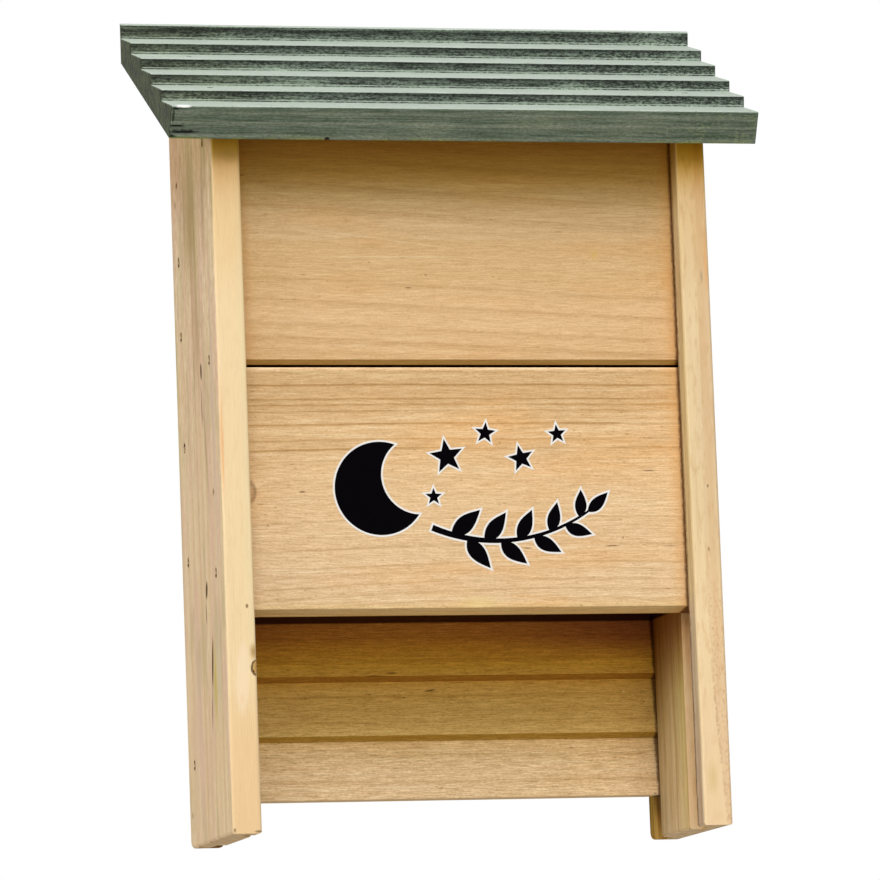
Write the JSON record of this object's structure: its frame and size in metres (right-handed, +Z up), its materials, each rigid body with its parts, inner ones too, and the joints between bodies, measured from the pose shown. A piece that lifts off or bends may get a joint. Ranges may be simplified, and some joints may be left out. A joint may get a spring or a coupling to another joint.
{
  "type": "bat box",
  "caption": "Wall-hung wooden bat box: stepped sloping roof, two front boards, grooved side boards, stepped climbing planks behind, open underneath.",
  "frame": {"origin": "under the middle of the whole box, level with the feet of the side boards", "axes": "+Z up, +Y into the wall, +X to the right of someone who faces the box"},
  "size_m": [0.284, 0.1112, 0.3974],
  "materials": {
    "pine_side": "planed softwood, untreated",
    "pine_front": "planed softwood, untreated",
    "pine_back": "planed softwood, untreated",
    "stained_roof": "planed softwood, green-grey stain with the grain showing",
    "steel": "plain wire nail",
    "zinc_plate": "zinc plated",
    "printed_motif": "thin black print with a pale edge"
  },
  "bodies": {
    "root": {"left_side": "pine_side", "right_side": "pine_side", "front_board_lower": "pine_front", "front_board_upper": "pine_front", "back_plank_lower": "pine_back", "back_plank_middle": "pine_back", "back_plank_upper": "pine_back", "roof_board": "stained_roof", "front_nails": "steel", "back_nails": "steel", "roof_nails": "steel", "hanger_plate": "zinc_plate", "hanger_screws": "zinc_plate"}
  },
  "joints": []
}
